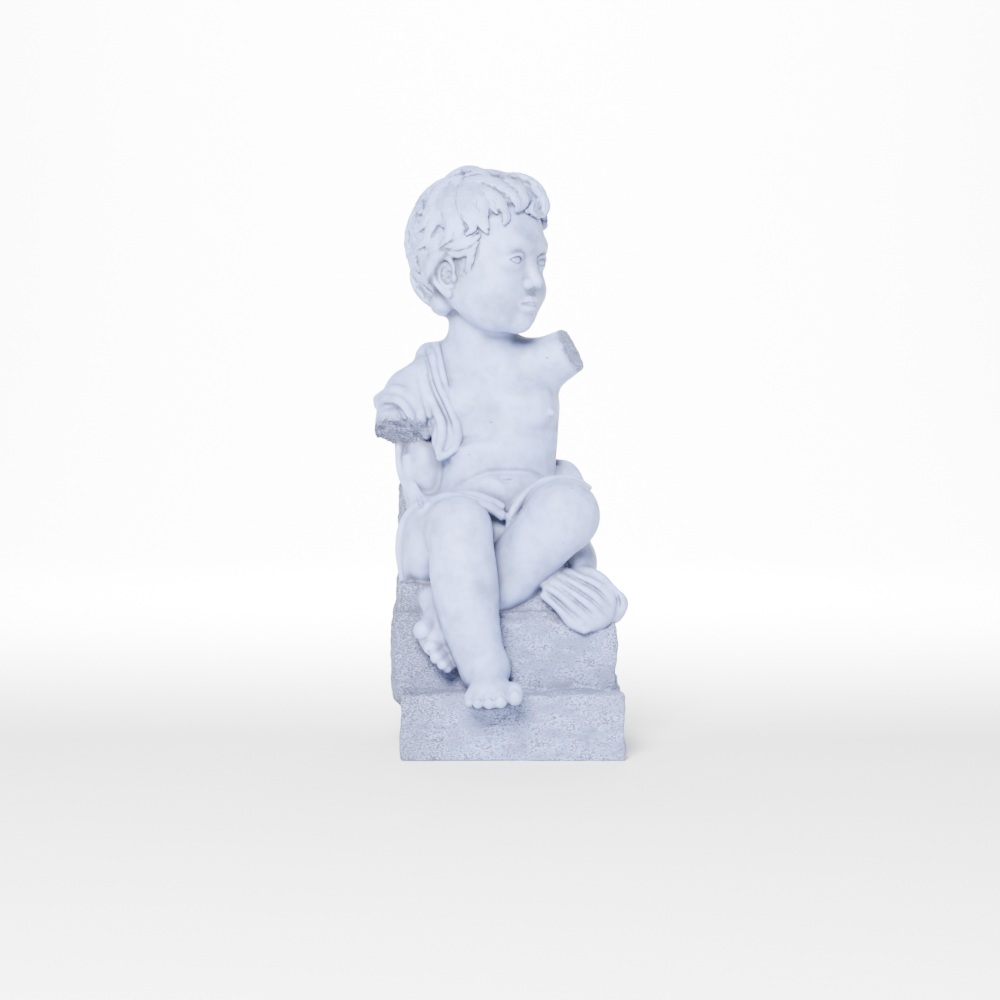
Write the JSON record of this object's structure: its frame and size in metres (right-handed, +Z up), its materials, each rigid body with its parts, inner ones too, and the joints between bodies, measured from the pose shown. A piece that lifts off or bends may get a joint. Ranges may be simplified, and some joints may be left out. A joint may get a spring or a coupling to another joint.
{
  "type": "seated boy statue",
  "caption": "Statue of a seated child with broken arms, a cloth over one shoulder and the lap, on a stepped rough rock, cast in one piece.",
  "frame": {"origin": "centre of the rock's flat underside", "axes": "+Z up, +X towards the viewer's right, -Y towards the viewer, the way the knees point"},
  "size_m": [0.2581, 0.2958, 0.5901],
  "materials": {
    "cast_stone": "matt, pale grey-blue white, smooth on the figure and rough on the rock"
  },
  "bodies": {
    "root": {"sitting_boy": "cast_stone"}
  },
  "joints": []
}
